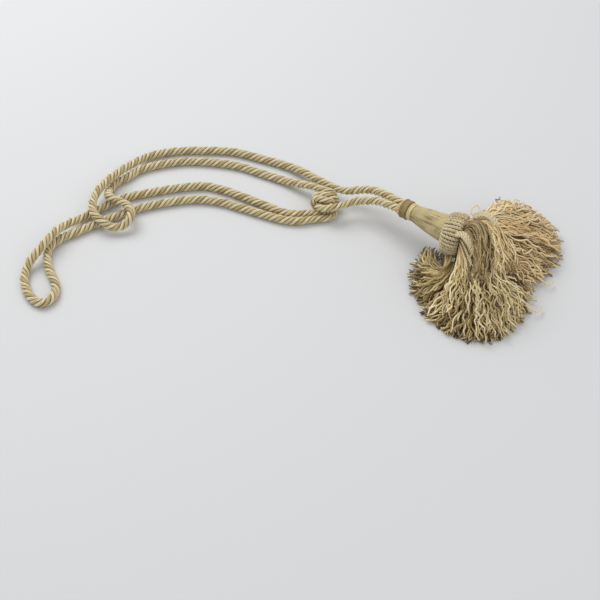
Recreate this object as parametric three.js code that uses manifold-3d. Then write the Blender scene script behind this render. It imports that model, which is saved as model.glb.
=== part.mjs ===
// Curtain tieback tassel: a doubled twisted rope with a loop at each end, knotted in the middle
// to the short rope of a bell-headed tassel with a gathered ruff and a full thread fringe.
// Millimetres, +Z up. The tieback lies on a surface at z = 0, with the origin below the middle
// of the tassel and the rope running out towards -X.
import * as THREE from 'three'
import { mergeVertices } from 'three/addons/utils/BufferGeometryUtils.js'
import Module from 'manifold-3d'

const ropeDiameter = 8.5
const ropeSides = 8
const endGap = 0.8 // what each rope stretch gives up at an end, so that neighbours stay apart

const neckStart = new THREE.Vector3(-70, 59.2, 33.3) // middle of the face that the ropes enter
const neckEnd = new THREE.Vector3(-26.3, 21.2, 36.1)
const collarRadius = 9.6
const collarLength = 7.4
const bindingRadius = 8.5
const bindingLength = 4.2
const pieceGap = 0.4
const bellStartRadius = 7.6
const bellRadius = 13.6
const bellEnd = 57 // distance along the neck where the bell stops inside the ruff

const ruffCentre = new THREE.Vector3(-25.6, 20.4, 33)
const ruffAxis = new THREE.Vector3(0.927, -0.375, 0)
const ruffRadius = 21.5
const ruffRows = 20 // loops of the braid around the ruff

// Each route is chosen by hand: [x, y, height of the rope's middle].
const armARoute = [
  [-163, 141, 7.5], [-172, 149, 6.3], [-187, 159, 4.6], [-212, 170, 4.3], [-240, 180.5, 4.3],
  [-275, 183, 4.3], [-305, 181, 4.3], [-330, 171, 5.5], [-350, 146, 11], [-365, 122, 14],
  [-373, 103, 14.5], [-375, 87, 14.2], [-371, 72, 13.8], [-363, 64, 12], [-356, 61, 8.5], [-349, 60, 7],
  [-342, 62, 8], [-337, 66, 11], [-335, 74, 13.8], [-339, 83, 14.2], [-346, 89, 14.2],
  [-353, 93, 14], [-360, 98, 14], [-362.5, 107.5, 9.2], [-363, 119, 4.8], [-358, 130, 4.3],
  [-347.5, 139, 4.3], [-336, 151, 4.3], [-311, 161, 4.3], [-284, 165, 4.3], [-237, 158, 4.3],
  [-211, 146, 4.3], [-186, 133, 5.2], [-170, 122.5, 9], [-160, 116, 13],
]

const armBRoute = [
  [-178, 82, 5.2], [-187, 84.8, 4.4], [-197, 91, 4.3], [-227, 108.5, 4.3], [-245, 118, 4.3],
  [-266, 125, 4.3], [-292, 122.5, 4.3], [-322, 115, 4.3], [-351, 105, 4.3], [-368, 91, 4.3],
  [-383, 77, 5.5], [-396, 63, 9.5], [-404, 50, 13], [-410, 37, 13.6], [-414.5, 27, 13.2],
  [-419.5, 18.5, 11.5], [-424.5, 11, 7.5], [-427, 2, 4.8], [-426, -10, 4.3], [-421, -23, 4.3],
  [-413, -34, 4.3], [-405, -38, 4.3], [-398, -34, 4.3], [-395, -25, 4.3], [-396.5, -14, 4.3],
  [-407, 9, 4.3], [-411, 31, 4.3], [-407, 40, 4.3], [-400.5, 48, 4.3], [-387, 57, 4.3],
  [-370, 68.5, 4.3], [-352, 79, 4.3], [-331, 91, 4.3], [-305, 99.5, 4.3], [-277, 104.5, 4.3],
  [-252, 101.5, 4.3], [-226, 91, 4.3], [-201, 80, 4.3], [-185, 74, 4.3], [-169, 72.5, 4.5],
]

// Inside the knot, measured from the surface below its middle.
const knotCentre = new THREE.Vector3(-143.7, 93.1, 0)
const outerPass = [ // arm A's outer strand runs straight past the turns to the upper link
  [-19.3, 47.9, 7.5], [-8.2, 36.1, 9], [1.8, 26.8, 11.5], [8, 20.5, 12.5], [13.3, 15.8, 12.5],
  [18.5, 12.6, 13.5], [24.8, 11, 15.5],
]
const turns = [ // arm A's inner strand winds round the knot and leaves as arm B's upper strand
  [-16.3, 22.9, 13], [-8.7, 16.3, 14.5], [-1.9, 11.5, 17.5], [5.1, 8.6, 18], [11, 7.3, 14],
  [12, 6.5, 9], [8, 5, 4.8], [-2, 4, 4.4], [-10, 5, 5], [-14.5, 5, 9.5], [-12, 4.5, 14.5],
  [-6, 2.5, 18], [1.9, 0.6, 18.7], [8.9, -0.8, 16], [12, -1.5, 11], [8.5, -3, 5.2], [-3, -4.5, 4.4],
  [-11, -3, 5], [-14, -0.8, 9], [-9.8, -1.5, 15], [-3.1, -3.4, 17.8], [4.8, -5.2, 17.5],
  [10.5, -6.5, 13.5], [11, -7.5, 8.5], [6, -8, 4.8], [-6, -7.5, 4.4], [-16, -8.5, 4.6],
  [-24.5, -11.4, 4.9], [-34.3, -11.1, 5.2],
]
const innerPass = [ // arm B's lower strand turns back inside the knot and leaves as the lower link
  [-25.3, -20.6, 4.5], [-14, -18.2, 4.4], [-3, -16.5, 4.4], [5.5, -12.5, 4.6], [9.5, -5.5, 6],
  [6, 0.5, 8], [-2, 1.5, 9.5], [-9, -1.5, 10.5], [-12.4, -6.5, 11.5], [-9.5, -12.5, 13.5],
  [-3.2, -15.8, 15.2], [5.3, -14.4, 15.5], [13.1, -9.8, 15], [18.6, -7.4, 15.5], [24, -6.8, 16.5],
]

const linkUpperRoute = [
  [-118.9, 104.1, 15.5], [-108, 102.5, 19], [-97.3, 96.6, 23], [-87.4, 85.3, 28], [-79.5, 75, 31.5],
  [-74.2, 68.9, 32.8], [-68.2, 63.6, 33.2],
]
const linkLowerRoute = [
  [-119.7, 86.3, 16.5], [-114.2, 86.2, 18], [-103.6, 82.7, 22], [-93.3, 76.3, 26.5], [-83.5, 65.8, 31],
  [-78.6, 61.2, 32.5], [-74.05, 56.8, 33.2],
]

// Each lock of the fringe is a fan of guides: where it leaves the ruff, the top of its bend,
// and the tip, as [x, y, height of the lock's top].
const locks = {
  fringe_right: {
    teeth: 13,
    guides: [
      [[-10.2, 34.6, 32], [8, 58, 33], [27, 86.5, 17]],
      [[-12, 30, 44], [20, 54, 47], [57, 83, 12]],
      [[-14.3, 24.4, 50], [32, 43, 48], [75.8, 54, 8]],
      [[-16.2, 19.8, 51], [28, 23, 44], [74.2, 20, 6]],
      [[-17.5, 16.5, 46], [8, 0, 30], [45, -27, 5]],
    ],
  },
  fringe_lower: {
    teeth: 15,
    guides: [
      [[-18.4, 14.2, 46], [5, -9, 31], [43, -40, 5]],
      [[-20.5, 9.1, 48], [7, -30, 45], [24, -68, 5]],
      [[-22.2, 4.9, 44], [-6, -40, 43], [-7, -87, 5]],
      [[-23.7, 1.2, 38], [-16, -42, 35], [-37, -76, 5]],
      [[-24.7, -1.2, 28], [-27, -38, 23], [-59, -48, 5]],
    ],
  },
  fringe_left: {
    teeth: 8,
    guides: [
      [[-27, -5, 22], [-34, -32, 22], [-62, -38, 6]],
      [[-29.5, -4.2, 22], [-38, -27, 25], [-66, -18, 9]],
      [[-32.5, -3.2, 20], [-43, -20, 26], [-65, 1, 14]],
      [[-36.5, -2.2, 16], [-46, -11, 20], [-57, 19, 18]],
    ],
  },
}
const lockSteps = 8 // rows from the ruff to the tips
const notchReach = 0.84 // how far the notches between two teeth reach, as a share of the lock
const notchDepth = 0.72 // height of a notch against its teeth

const wasm = await Module()
wasm.setup()

const material = (color, roughness) => new THREE.MeshStandardMaterial({ color, roughness, metalness: 0 })
const ropeMaterial = material(0xcbb98c, 0.55)
const bandMaterial = material(0x8f7d4c, 0.6)
const satinMaterial = material(0xb9a978, 0.4)
const ruffMaterial = material(0xd8caa4, 0.75)
const fringeMaterial = material(0xcdb78c, 0.7)

const tieback = new THREE.Group()

function addPiece(name, geometry, pieceMaterial) {
  const mesh = new THREE.Mesh(geometry, pieceMaterial)
  mesh.name = name
  tieback.add(mesh)
  return mesh
}

// A smooth curve whose steps follow its points, so that close points give fine steps.
class RouteCurve extends THREE.CatmullRomCurve3 {
  getPointAt(u, target) {
    return this.getPoint(u, target)
  }
  getTangentAt(u, target) {
    return this.getTangent(u, target)
  }
}

function regularPolygon(radius, sides) {
  const shape = new THREE.Shape()
  for (let i = 0; i < sides; i++) {
    const angle = (i + 0.5) * 2 * Math.PI / sides
    const x = radius * Math.cos(angle)
    const y = radius * Math.sin(angle)
    i ? shape.lineTo(x, y) : shape.moveTo(x, y)
  }
  shape.closePath()
  return shape
}

// Whatever comes close to the surface is pressed flat on it.
function pressFlat(geometry, depth) {
  const position = geometry.attributes.position
  for (let i = 0; i < position.count; i++) {
    if (position.getZ(i) < depth) position.setZ(i, 0)
  }
  geometry.computeVertexNormals()
  return geometry
}

function ropeGeometry(route, offset, gap, stepsPerPoint = 1) {
  const points = route.map((p) => new THREE.Vector3(...p).add(offset))
  const last = points.length - 1
  points[0].lerp(points[1], gap / points[0].distanceTo(points[1]))
  points[last].lerp(points[last - 1], gap / points[last].distanceTo(points[last - 1]))
  const geometry = new THREE.ExtrudeGeometry(regularPolygon(ropeDiameter / 2, ropeSides), {
    steps: last * stepsPerPoint,
    extrudePath: new RouteCurve(points),
  })
  return pressFlat(geometry, 0.9)
}

function toSolid(geometry) {
  const bare = geometry.clone()
  bare.deleteAttribute('normal')
  bare.deleteAttribute('uv')
  const merged = mergeVertices(bare, 1e-4)
  return new wasm.Manifold(new wasm.Mesh({
    numProp: 3,
    vertProperties: new Float32Array(merged.attributes.position.array),
    triVerts: new Uint32Array(merged.index.array),
  }))
}

function toGeometry(solid) {
  const mesh = solid.getMesh()
  const geometry = new THREE.BufferGeometry()
  geometry.setAttribute('position', new THREE.Float32BufferAttribute(mesh.vertProperties, 3))
  geometry.setIndex(Array.from(mesh.triVerts))
  geometry.computeVertexNormals()
  return geometry
}

// The lathe turns about Y, so a turned piece is laid along its axis from a start point.
function turnedPiece(profile, start, axis, segments) {
  const outline = profile.map(([along, radius]) => new THREE.Vector2(radius, along))
  const geometry = new THREE.LatheGeometry(outline, segments)
  const turn = new THREE.Quaternion()
  turn.setFromUnitVectors(new THREE.Vector3(0, 1, 0), axis.clone().normalize())
  geometry.applyQuaternion(turn)
  geometry.translate(start.x, start.y, start.z)
  return geometry
}

function bellProfile(extra) {
  const start = collarLength + bindingLength + 2 * pieceGap - extra
  const length = bellEnd + extra - start
  const profile = [[start, 0]]
  for (let i = 0; i <= 6; i++) {
    const t = i / 6
    const flare = 1 - (1 - t) ** 1.5
    const radius = bellStartRadius + (bellRadius - bellStartRadius) * flare
    profile.push([start + length * t, radius + extra])
  }
  profile.push([bellEnd + extra, 0])
  return profile
}

function buildRopes() {
  const origin = new THREE.Vector3()
  addPiece('arm_a', ropeGeometry(armARoute, origin, endGap), ropeMaterial)
  addPiece('arm_b', ropeGeometry(armBRoute, origin, endGap), ropeMaterial)
  addPiece('link_upper', ropeGeometry(linkUpperRoute, origin, endGap, 2), ropeMaterial)
  addPiece('link_lower', ropeGeometry(linkLowerRoute, origin, endGap, 2), ropeMaterial)
}

function buildKnot() {
  const core = new THREE.SphereGeometry(1, 12, 8)
  core.scale(9.5, 9.5, 8)
  core.translate(knotCentre.x - 1, knotCentre.y - 1, 11)
  let knot = toSolid(core)
  for (const route of [outerPass, turns, innerPass]) {
    knot = knot.add(toSolid(ropeGeometry(route, knotCentre, endGap, 2)))
  }
  addPiece('knot', toGeometry(knot), ropeMaterial)
}

function buildNeck() {
  const axis = neckEnd.clone().sub(neckStart)
  const bevel = 0.9
  const bindingStart = collarLength + pieceGap
  const bindingEnd = bindingStart + bindingLength
  const collar = [
    [0, 0], [0, collarRadius - bevel], [bevel, collarRadius],
    [collarLength - bevel, collarRadius], [collarLength, collarRadius - bevel], [collarLength, 0],
  ]
  const binding = [
    [bindingStart, 0], [bindingStart, bindingRadius - bevel], [bindingStart + bevel, bindingRadius],
    [bindingEnd - bevel, bindingRadius], [bindingEnd, bindingRadius - bevel], [bindingEnd, 0],
  ]
  addPiece('collar_band', turnedPiece(collar, neckStart, axis, 28), bandMaterial)
  addPiece('binding_ring', turnedPiece(binding, neckStart, axis, 28), ruffMaterial)
  addPiece('bell', turnedPiece(bellProfile(0), neckStart, axis, 32), satinMaterial)
}

// The ruff is the rolled-up heading of the fringe, with the loops of its braid as ridges.
function buildRuff() {
  const profile = [
    [-9, 0], [-9, 15.5], [-7.5, 18], [-4.5, 20], [0, ruffRadius - 0.4], [4, ruffRadius],
    [7, ruffRadius - 1], [8, ruffRadius - 3], [8, 0],
  ]
  const ruff = turnedPiece(profile, ruffCentre, ruffAxis, 2 * ruffRows)
  const axis = ruffAxis.clone().normalize()
  const across = new THREE.Vector3(-axis.y, axis.x, 0)
  const position = ruff.attributes.position
  const spoke = new THREE.Vector3()
  for (let i = 0; i < position.count; i++) {
    spoke.fromBufferAttribute(position, i).sub(ruffCentre)
    const along = spoke.dot(axis)
    spoke.addScaledVector(axis, -along)
    const angle = Math.atan2(spoke.z, spoke.dot(across))
    const ridge = 1 + 0.02 * Math.cos(angle * ruffRows)
    spoke.multiplyScalar(ridge).addScaledVector(axis, along).add(ruffCentre)
    position.setXYZ(i, spoke.x, spoke.y, spoke.z)
  }
  pressFlat(ruff, 0.8)
  const room = turnedPiece(bellProfile(0.5), neckStart, neckEnd.clone().sub(neckStart), 32)
  addPiece('ruff_braid', toGeometry(toSolid(ruff).subtract(toSolid(room))), ruffMaterial)
}

// One lock: a fan of curved columns with a flat underside, ridged on top and toothed at its rim.
function lockGeometry({ guides, teeth }) {
  const rails = [0, 1, 2].map((k) => {
    return new THREE.CatmullRomCurve3(guides.map((guide) => new THREE.Vector3(...guide[k])))
  })
  const columns = 3 * teeth
  const rows = lockSteps
  const positions = []
  for (let j = 0; j < columns; j++) {
    const [root, bend, tip] = rails.map((rail) => rail.getPoint(j / (columns - 1)))
    const column = new THREE.QuadraticBezierCurve3(root, bend, tip)
    const isNotch = j % 3 === 1
    const reach = isNotch ? notchReach : 1
    for (let i = 0; i <= rows; i++) {
      const t = reach * i / rows
      const top = column.getPoint(t)
      const dip = isNotch ? 1 - (1 - notchDepth) * Math.min(1, 4 * t) : 1
      positions.push(top.x, top.y, top.z * dip, top.x, top.y, 0)
    }
  }
  const index = []
  const at = (j, i, bottom) => 2 * (j * (rows + 1) + i) + bottom
  const quad = (a, b, c, d) => index.push(a, b, c, a, c, d)
  for (let j = 0; j < columns - 1; j++) {
    for (let i = 0; i < rows; i++) {
      quad(at(j, i, 0), at(j + 1, i, 0), at(j + 1, i + 1, 0), at(j, i + 1, 0))
      quad(at(j, i, 1), at(j, i + 1, 1), at(j + 1, i + 1, 1), at(j + 1, i, 1))
    }
    quad(at(j, 0, 0), at(j, 0, 1), at(j + 1, 0, 1), at(j + 1, 0, 0))
    quad(at(j, rows, 0), at(j + 1, rows, 0), at(j + 1, rows, 1), at(j, rows, 1))
  }
  for (let i = 0; i < rows; i++) {
    quad(at(0, i, 0), at(0, i + 1, 0), at(0, i + 1, 1), at(0, i, 1))
    quad(at(columns - 1, i, 0), at(columns - 1, i, 1), at(columns - 1, i + 1, 1), at(columns - 1, i + 1, 0))
  }
  const geometry = new THREE.BufferGeometry()
  geometry.setAttribute('position', new THREE.Float32BufferAttribute(positions, 3))
  geometry.setIndex(index)
  geometry.computeVertexNormals()
  return geometry
}

buildRopes()
buildKnot()
buildNeck()
buildRuff()
for (const [name, lock] of Object.entries(locks)) {
  addPiece(name, lockGeometry(lock), fringeMaterial)
}

export default tieback
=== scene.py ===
# Curtain tieback tassel: one twisted rope laid in two long loops and knotted, then led into
# a bell-headed tassel with a knobbly ruff and a full fringe of crimped threads.
# Metres, +Z up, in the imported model's own frame.
import math

import bmesh
import bpy
import numpy as np
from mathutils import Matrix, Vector


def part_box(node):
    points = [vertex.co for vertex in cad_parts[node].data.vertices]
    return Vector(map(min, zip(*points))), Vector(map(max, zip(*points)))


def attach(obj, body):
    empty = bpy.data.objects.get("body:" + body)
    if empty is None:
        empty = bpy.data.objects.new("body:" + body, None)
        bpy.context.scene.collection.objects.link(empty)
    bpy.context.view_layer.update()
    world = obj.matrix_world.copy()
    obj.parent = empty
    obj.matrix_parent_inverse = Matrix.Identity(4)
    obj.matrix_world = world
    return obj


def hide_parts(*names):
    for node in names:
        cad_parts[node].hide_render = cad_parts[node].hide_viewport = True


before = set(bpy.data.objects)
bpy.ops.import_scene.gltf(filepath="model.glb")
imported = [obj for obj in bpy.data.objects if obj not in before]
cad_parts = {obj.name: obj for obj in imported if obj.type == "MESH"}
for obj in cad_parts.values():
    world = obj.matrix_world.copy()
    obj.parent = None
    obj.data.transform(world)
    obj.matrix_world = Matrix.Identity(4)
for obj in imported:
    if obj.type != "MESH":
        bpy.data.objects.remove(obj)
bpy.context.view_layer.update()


# ---- shared making of shapes
def middle(node):
    low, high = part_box(node)
    return (low + high) / 2


def unit(vectors):
    return vectors / np.linalg.norm(vectors, axis=-1, keepdims=True)


def evenSteps(path, spacing):
    # The same line with its points a fixed distance apart.
    lengths = np.linalg.norm(np.diff(path, axis=0), axis=1)
    along = np.concatenate([[0], np.cumsum(lengths)])
    count = int(round(along[-1] / spacing)) + 1
    wanted = np.linspace(0, along[-1], count)
    return np.stack([np.interp(wanted, along, path[:, k]) for k in range(3)], axis=1)


def smoothPath(points, spacing):
    # A centripetal Catmull-Rom curve through every point.
    points = np.asarray(points, float)
    before = 2 * points[0] - points[1]
    after = 2 * points[-1] - points[-2]
    points = np.vstack([before, points, after])
    dense = []
    perSpan = 24
    for i in range(1, len(points) - 2):
        a, b, c, d = points[i - 1:i + 3]
        knots = np.cumsum([0] + [math.sqrt(np.linalg.norm(q - p)) for p, q in ((a, b), (b, c), (c, d))])
        for t in np.linspace(knots[1], knots[2], perSpan, endpoint=False):
            ab = blendPoints(a, b, knots[0], knots[1], t)
            bc = blendPoints(b, c, knots[1], knots[2], t)
            cd = blendPoints(c, d, knots[2], knots[3], t)
            abc = blendPoints(ab, bc, knots[0], knots[2], t)
            bcd = blendPoints(bc, cd, knots[1], knots[3], t)
            dense.append(blendPoints(abc, bcd, knots[1], knots[2], t))
    dense.append(points[-2])
    return evenSteps(np.array(dense), spacing)


def blendPoints(p, q, start, end, t):
    return p + (q - p) * (t - start) / (end - start)


def tubeRings(paths, radii, angles):
    # Rings of points round many paths at once: paths is (count, steps, 3), and radii and
    # angles are (count, steps, sides), the angles measured from a frame that doesn't twist.
    tangents = unit(np.gradient(paths, axis=1))
    normals = np.empty_like(paths)
    normal = unit(np.cross(tangents[:, 0], (0.31, 0.27, 0.91)))
    for i in range(paths.shape[1]):
        tangent = tangents[:, i]
        normal = unit(normal - tangent * np.sum(normal * tangent, axis=-1, keepdims=True))
        normals[:, i] = normal
    binormals = np.cross(tangents, normals)
    across = np.cos(angles)[..., None] * normals[:, :, None]
    upward = np.sin(angles)[..., None] * binormals[:, :, None]
    rings = paths[:, :, None] + radii[..., None] * (across + upward)
    rings[..., 2] = np.maximum(rings[..., 2], 0)
    return rings


def roundTubes(paths, radii, sides):
    # Plain round threads; radii is (count, steps).
    angles = np.broadcast_to(2 * math.pi * np.arange(sides) / sides, (*radii.shape, sides))
    return tubeRings(paths, np.repeat(radii[..., None], sides, axis=-1), angles)


def joinedTubes(name, rings, tones):
    # One mesh of closed tubes with flat ends. Its UV map holds the turn round a tube and
    # the distance along it in metres, and "tone" holds a shade for each ring.
    count, steps, sides, _ = rings.shape
    index = np.arange(count * steps * sides).reshape(count, steps, sides)
    beside = np.roll(index, -1, axis=2)
    quads = np.stack([index[:, :-1], beside[:, :-1], beside[:, 1:], index[:, 1:]], axis=-1)
    faces = quads.reshape(-1, 4).tolist() + index[:, 0, ::-1].tolist() + index[:, -1].tolist()
    mesh = bpy.data.meshes.new(name)
    mesh.from_pydata(rings.reshape(-1, 3).tolist(), [], faces)
    mesh.polygons.foreach_set("use_smooth", np.ones(len(mesh.polygons), bool))

    gaps = np.linalg.norm(np.diff(rings.mean(axis=2), axis=1), axis=-1)
    along = np.concatenate([np.zeros((count, 1)), np.cumsum(gaps, axis=1)], axis=1)
    turn = np.arange(sides) / sides
    uv = np.empty((count, steps - 1, sides, 4, 2))
    uv[..., 0, 0] = uv[..., 3, 0] = turn
    uv[..., 1, 0] = uv[..., 2, 0] = turn + 1 / sides
    uv[..., 0, 1] = uv[..., 1, 1] = along[:, :-1, None]
    uv[..., 2, 1] = uv[..., 3, 1] = along[:, 1:, None]
    ends = np.zeros((2 * count * sides, 2))
    layer = mesh.uv_layers.new(name="UVMap")
    layer.data.foreach_set("uv", np.concatenate([uv.reshape(-1, 2), ends]).ravel())

    shade = mesh.attributes.new("tone", "FLOAT", "POINT")
    values = np.broadcast_to(tones[..., None], (count, steps, sides))
    shade.data.foreach_set("value", np.ascontiguousarray(values, dtype=np.float32).ravel())
    return linked(name, mesh)


def linked(name, mesh):
    piece = bpy.data.objects.new(name, mesh)
    bpy.context.scene.collection.objects.link(piece)
    return piece


def turnedPiece(name, profile, centre, axis, steps, shape=None):
    # Spins an outline of (distance along the axis, radius) points that starts and ends on
    # the axis. shape moves each point: it takes and gives back (along, radius, angle).
    build = bmesh.new()
    side = axis.cross(Vector((0, 0, 1))).normalized()
    upward = side.cross(axis)
    verts = [build.verts.new(centre + axis * along - upward * radius) for along, radius in profile]
    edges = [build.edges.new(pair) for pair in zip(verts, verts[1:])]
    bmesh.ops.spin(
        build, geom=verts + edges, cent=centre, axis=axis, angle=2 * math.pi,
        steps=steps, use_merge=True, use_duplicate=False,
    )
    bmesh.ops.remove_doubles(build, verts=build.verts, dist=1e-6)
    bmesh.ops.recalc_face_normals(build, faces=build.faces)

    def polar(point):
        arm = point - centre
        along = arm.dot(axis)
        x, y = arm.dot(side), arm.dot(upward)
        return along, math.hypot(x, y), math.atan2(x, y)

    layer = build.loops.layers.uv.new("UVMap")
    for face in build.faces:
        face.smooth = True
        faceAngle = polar(face.calc_center_median())[2]
        for loop in face.loops:
            along, radius, angle = polar(loop.vert.co)
            if radius < 1e-6:
                angle = faceAngle
            angle -= 2 * math.pi * round((angle - faceAngle) / (2 * math.pi))
            loop[layer].uv = (angle / (2 * math.pi), along)
    if shape:
        for vert in build.verts:
            along, radius, angle = shape(*polar(vert.co))
            around = side * math.sin(angle) + upward * math.cos(angle)
            vert.co = centre + axis * along + around * radius
    for vert in build.verts:
        vert.co.z = max(vert.co.z, 0)
    mesh = bpy.data.meshes.new(name)
    build.to_mesh(mesh)
    build.free()
    return linked(name, mesh)


def finishPiece(piece, material, slot, *nodes):
    piece.data.materials.append(material)
    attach(piece, "root")
    if nodes:
        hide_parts(*nodes)
    return piece


# ---- shader node groups, and the small helpers that wire them
def dyed(red, green, blue):
    # A colour as it is picked on a screen, 0 to 255, as the shader's own numbers.
    channels = [value / 255 for value in (red, green, blue)]
    return (*[c / 12.92 if c <= 0.04045 else ((c + 0.055) / 1.055) ** 2.4 for c in channels], 1)


def fill(tree, socket, value):
    if isinstance(value, bpy.types.NodeSocket):
        tree.links.new(value, socket)
    else:
        socket.default_value = value


def calc(tree, operation, first, second=0.0, clamp=False):
    node = tree.nodes.new("ShaderNodeMath")
    node.operation = operation
    node.use_clamp = clamp
    fill(tree, node.inputs[0], first)
    fill(tree, node.inputs[1], second)
    return node.outputs[0]


def mixColour(tree, factor, first, second):
    node = tree.nodes.new("ShaderNodeMix")
    node.data_type = "RGBA"
    fill(tree, node.inputs["Factor"], factor)
    fill(tree, node.inputs[6], first)
    fill(tree, node.inputs[7], second)
    return node.outputs[2]


def softStep(tree, value, low, high):
    node = tree.nodes.new("ShaderNodeMapRange")
    node.interpolation_type = "SMOOTHSTEP"
    fill(tree, node.inputs["Value"], value)
    node.inputs["From Min"].default_value = low
    node.inputs["From Max"].default_value = high
    return node.outputs["Result"]


def cloudNoise(tree, size, detail=2.0):
    # Noise in the object's own space; size is the width of a patch in metres.
    place = tree.nodes.new("ShaderNodeTexCoord")
    noise = tree.nodes.new("ShaderNodeTexNoise")
    noise.inputs["Detail"].default_value = detail
    tree.links.new(place.outputs["Object"], noise.inputs["Vector"])
    fill(tree, noise.inputs["Scale"], calc(tree, "DIVIDE", 1.0, size))
    return noise.outputs["Fac"]


def shaderGroup(name, inputs, outputs):
    group = bpy.data.node_groups.new(name, "ShaderNodeTree")
    for label, kind, value in inputs:
        socket = group.interface.new_socket(name=label, in_out="INPUT", socket_type=kind)
        socket.default_value = value
    for label, kind in outputs:
        group.interface.new_socket(name=label, in_out="OUTPUT", socket_type=kind)
    return group, group.nodes.new("NodeGroupInput").outputs, group.nodes.new("NodeGroupOutput").inputs


def dyeCloudGroup():
    # A yarn colour from dark to light by its shade, with slow uneven patches of dye.
    group, given, out = shaderGroup(
        "dyeCloud",
        [
            ("Dark", "NodeSocketColor", (0.1, 0.1, 0.1, 1)),
            ("Base", "NodeSocketColor", (0.5, 0.5, 0.5, 1)),
            ("Light", "NodeSocketColor", (0.9, 0.9, 0.9, 1)),
            ("Tone", "NodeSocketFloat", 0.5),
            ("Patch Size", "NodeSocketFloat", 0.02),
            ("Patchiness", "NodeSocketFloat", 0.3),
        ],
        [("Color", "NodeSocketColor"), ("Tone", "NodeSocketFloat")],
    )
    patch = calc(group, "SUBTRACT", cloudNoise(group, given["Patch Size"]), 0.5)
    shifted = calc(group, "MULTIPLY", patch, given["Patchiness"])
    tone = calc(group, "ADD", given["Tone"], shifted, clamp=True)
    lower = calc(group, "MULTIPLY", tone, 2.0, clamp=True)
    upper = calc(group, "SUBTRACT", calc(group, "MULTIPLY", tone, 2.0), 1.0, clamp=True)
    darkToBase = mixColour(group, lower, given["Dark"], given["Base"])
    group.links.new(mixColour(group, upper, darkToBase, given["Light"]), out["Color"])
    group.links.new(tone, out["Tone"])
    return group


def strandLinesGroup():
    # Fine yarns wound round a tube: Strands of them side by side, each with one turn in Pitch
    # metres, and a little fuzz on top. Groove marks the hollows between the yarns, for painted shade.
    group, given, out = shaderGroup(
        "strandLines",
        [
            ("Strands", "NodeSocketFloat", 2.0),
            ("Pitch", "NodeSocketFloat", 0.003),
            ("Fuzz Size", "NodeSocketFloat", 0.0005),
            ("Fuzz", "NodeSocketFloat", 0.3),
        ],
        [("Height", "NodeSocketFloat"), ("Groove", "NodeSocketFloat")],
    )
    unwrapped = group.nodes.new("ShaderNodeUVMap")
    unwrapped.uv_map = "UVMap"
    split = group.nodes.new("ShaderNodeSeparateXYZ")
    group.links.new(unwrapped.outputs["UV"], split.inputs[0])
    around = calc(group, "MULTIPLY", split.outputs["X"], given["Strands"])
    along = calc(group, "DIVIDE", split.outputs["Y"], given["Pitch"])
    phase = calc(group, "MULTIPLY", calc(group, "ADD", around, along), 2 * math.pi)
    wave = calc(group, "MULTIPLY", calc(group, "SINE", phase), 0.5)
    line = calc(group, "ADD", wave, 0.5)
    fuzz = calc(group, "SUBTRACT", cloudNoise(group, given["Fuzz Size"], 3.0), 0.5)
    height = calc(group, "ADD", line, calc(group, "MULTIPLY", fuzz, given["Fuzz"]))
    group.links.new(height, out["Height"])
    group.links.new(softStep(group, height, 0.42, 0.0), out["Groove"])
    return group


nodeGroups = {"dyeCloud": dyeCloudGroup(), "strandLines": strandLinesGroup()}


def placeGroup(tree, name, **values):
    node = tree.nodes.new("ShaderNodeGroup")
    node.node_tree = nodeGroups[name]
    for label, value in values.items():
        fill(tree, node.inputs[label.replace("_", " ")], value)
    return node.outputs


def newMaterial(name, look):
    material = bpy.data.materials.new(name)
    material.use_nodes = True
    shader = material.node_tree.nodes["Principled BSDF"]
    shader.inputs["Roughness"].default_value = look["roughness"]
    shader.inputs["Sheen Weight"].default_value = look["sheen"]
    shader.inputs["Sheen Roughness"].default_value = 0.5
    return material, material.node_tree, shader


def bumpInto(tree, shader, height, depth):
    bump = tree.nodes.new("ShaderNodeBump")
    bump.inputs["Distance"].default_value = depth
    tree.links.new(height, bump.inputs["Height"])
    tree.links.new(bump.outputs["Normal"], shader.inputs["Normal"])


def toneOf(tree):
    shade = tree.nodes.new("ShaderNodeAttribute")
    shade.attribute_name = "tone"
    return shade.outputs["Fac"]


def streakTone(tree, around):
    # A shade that changes round a turned piece and hardly along it.
    perMetre, contrast = 45, 1.7
    unwrapped = tree.nodes.new("ShaderNodeUVMap")
    unwrapped.uv_map = "UVMap"
    stretch = tree.nodes.new("ShaderNodeVectorMath")
    stretch.operation = "MULTIPLY"
    stretch.inputs[1].default_value = (around, perMetre, 1)
    noise = tree.nodes.new("ShaderNodeTexNoise")
    noise.inputs["Scale"].default_value = 1
    tree.links.new(unwrapped.outputs["UV"], stretch.inputs[0])
    tree.links.new(stretch.outputs[0], noise.inputs["Vector"])
    stronger = calc(tree, "MULTIPLY", noise.outputs["Fac"], contrast)
    return calc(tree, "ADD", stronger, 0.5 - contrast / 2, clamp=True)


def yarnMaterial(name, look):
    # Dyed yarn: its shade comes from the mesh where it has one, its twist from the UV map.
    material, tree, shader = newMaterial(name, look)
    tone = toneOf(tree) if look.get("shaded", True) else 0.5
    if "streaks" in look:
        tone = streakTone(tree, look["streaks"])
    yarnColour = placeGroup(
        tree, "dyeCloud", Dark=look["dark"], Base=look["base"], Light=look["light"],
        Tone=tone, Patch_Size=look["patchSize"], Patchiness=look["patchiness"],
    )
    lines = placeGroup(
        tree, "strandLines", Strands=look["strands"], Pitch=look["pitch"],
        Fuzz_Size=look["fuzzSize"], Fuzz=look["fuzz"],
    )
    # Painted shade: the hollows between the yarns are mixed towards the dark colour.
    paintedHollowShade = calc(tree, "MULTIPLY", lines["Groove"], look["paintedGrooveShade"])
    colour = mixColour(tree, paintedHollowShade, yarnColour["Color"], look["dark"])
    tree.links.new(colour, shader.inputs["Base Color"])
    bumpInto(tree, shader, lines["Height"], look["lineDepth"])
    return material


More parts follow.
